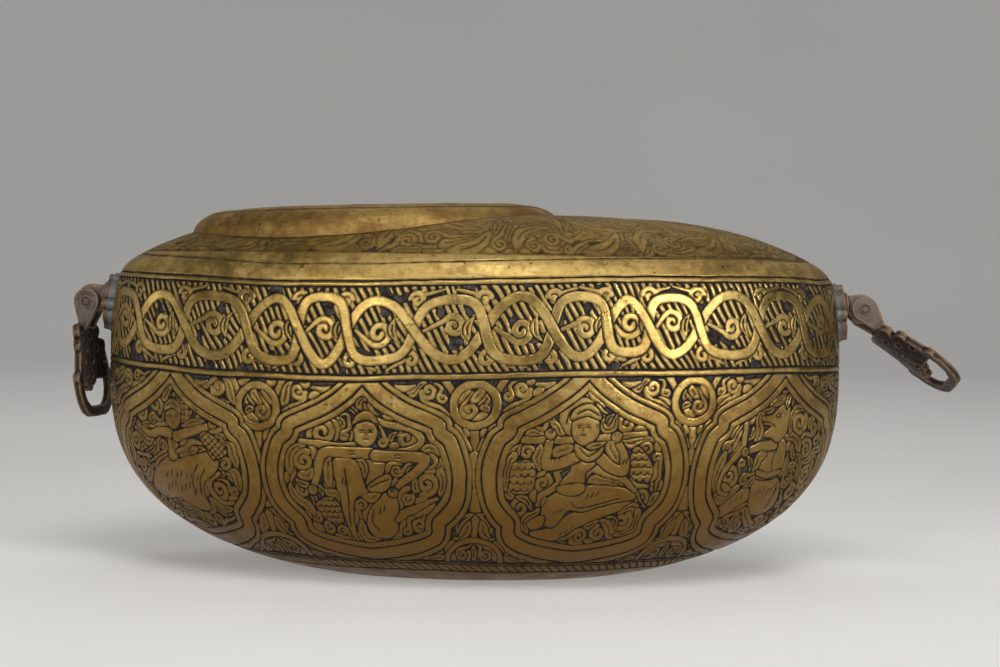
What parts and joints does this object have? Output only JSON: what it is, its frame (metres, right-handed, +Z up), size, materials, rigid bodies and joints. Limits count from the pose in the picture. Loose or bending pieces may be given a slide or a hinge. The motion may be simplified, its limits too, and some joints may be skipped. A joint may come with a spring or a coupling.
{
  "type": "kashkul begging bowl",
  "caption": "Oval brass begging bowl with a domed cover, a raised lip round its mouth and swivelling pierced iron handles at its ends.",
  "frame": {"origin": "middle of the flat base the bowl stands on", "axes": "+X along the bowl away from the mouth, +Y across the bowl, +Z up"},
  "size_m": [0.3027, 0.137, 0.1249],
  "materials": {
    "brass_body": "aged, engraved and filled with dark compound",
    "brass_lip": "worn and stained",
    "iron": "forged, brown patina",
    "rivet_iron": "hammered heads",
    "brass_washer": "dull",
    "solder": "dull grey solder"
  },
  "bodies": {
    "vessel": {"bowl_body": "brass_body", "top_cover": "brass_body", "mouth_lip": "brass_lip", "right_solder_bed": "solder", "right_backplate": "iron", "right_rove": "brass_washer", "left_solder_bed": "solder", "left_backplate": "iron", "left_rove": "brass_washer"},
    "right_stud": {"right_eye_stud": "iron"},
    "right_handle": {"right_drop_handle": "iron", "right_hinge_rivet": "rivet_iron"},
    "left_stud": {"left_eye_stud": "iron"},
    "left_handle": {"left_drop_handle": "iron", "left_hinge_rivet": "rivet_iron"}
  },
  "joints": [
    {"name": "right_swivel", "type": "hinge", "parent": "vessel", "child": "right_stud", "pos_m": [0.12355, 0, 0.0924], "axis": [0.9945, 0, 0.1045], "continuous": true},
    {"name": "right_hinge", "type": "hinge", "parent": "right_stud", "child": "right_handle", "pos_m": [0.13326, -0.00091, 0.09002], "axis": [0.0271, 0.9659, -0.2574], "range_deg": [-88, 50]},
    {"name": "left_swivel", "type": "hinge", "parent": "vessel", "child": "left_stud", "pos_m": [-0.12355, 0, 0.0924], "axis": [-0.9848, 0.1384, 0.1045], "continuous": true},
    {"name": "left_hinge", "type": "hinge", "parent": "left_stud", "child": "left_handle", "pos_m": [-0.13317, 0.00135, 0.0899], "axis": [-0.1392, -0.9903, 0], "range_deg": [-148, 4]}
  ]
}
